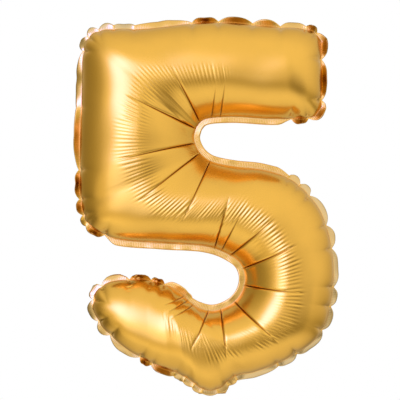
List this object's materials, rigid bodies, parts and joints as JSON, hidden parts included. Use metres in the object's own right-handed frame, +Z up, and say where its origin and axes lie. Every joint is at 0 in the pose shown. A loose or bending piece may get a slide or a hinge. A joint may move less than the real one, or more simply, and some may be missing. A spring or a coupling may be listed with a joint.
{
  "type": "foil number balloon",
  "caption": "Gold foil balloon in the shape of the numeral 5, with a folded inflation tail and a self-sealing valve sleeve.",
  "frame": {"origin": "the lowest edge of the neck, in the plane of the weld, where a stick, tape or ribbon holds the balloon upright", "axes": "+Z up the number, the front of the number faces -Y and reads the right way round with +X to the right"},
  "size_m": [0.2492, 0.0677, 0.3629],
  "materials": {
    "gold_foil": "satin-bright metallised film, gold lacquer",
    "valve_film": "milky translucent polyethylene film"
  },
  "bodies": {
    "balloon": {"front_panel": "gold_foil", "back_panel": "gold_foil"},
    "tail": {"tail_front_leaf": "gold_foil", "tail_back_leaf": "gold_foil", "valve_front_mouth": "valve_film", "valve_back_mouth": "valve_film"},
    "valve_front": {"valve_front_lip": "valve_film"},
    "valve_back": {"valve_back_lip": "valve_film"}
  },
  "joints": [
    {"name": "tail_fold", "type": "hinge", "parent": "balloon", "child": "tail", "pos_m": [0, 0, 0], "axis": [-1, 0, 0], "range_deg": [0, 135]},
    {"name": "valve_front_part", "type": "hinge", "parent": "balloon", "child": "valve_front", "pos_m": [0, -0.00015, 0.0115], "axis": [1, 0, 0], "range_deg": [0, 4], "stiffness_Nm_per_rad": 0.0005, "springref_deg": -1.15},
    {"name": "valve_back_part", "type": "hinge", "parent": "balloon", "child": "valve_back", "pos_m": [0, 0.00015, 0.0115], "axis": [-1, 0, 0], "range_deg": [0, 4], "stiffness_Nm_per_rad": 0.0005, "springref_deg": -1.15}
  ],
  "couplings": [
    {"joint": "valve_back_part", "follows": "valve_front_part", "ratio": 1}
  ]
}
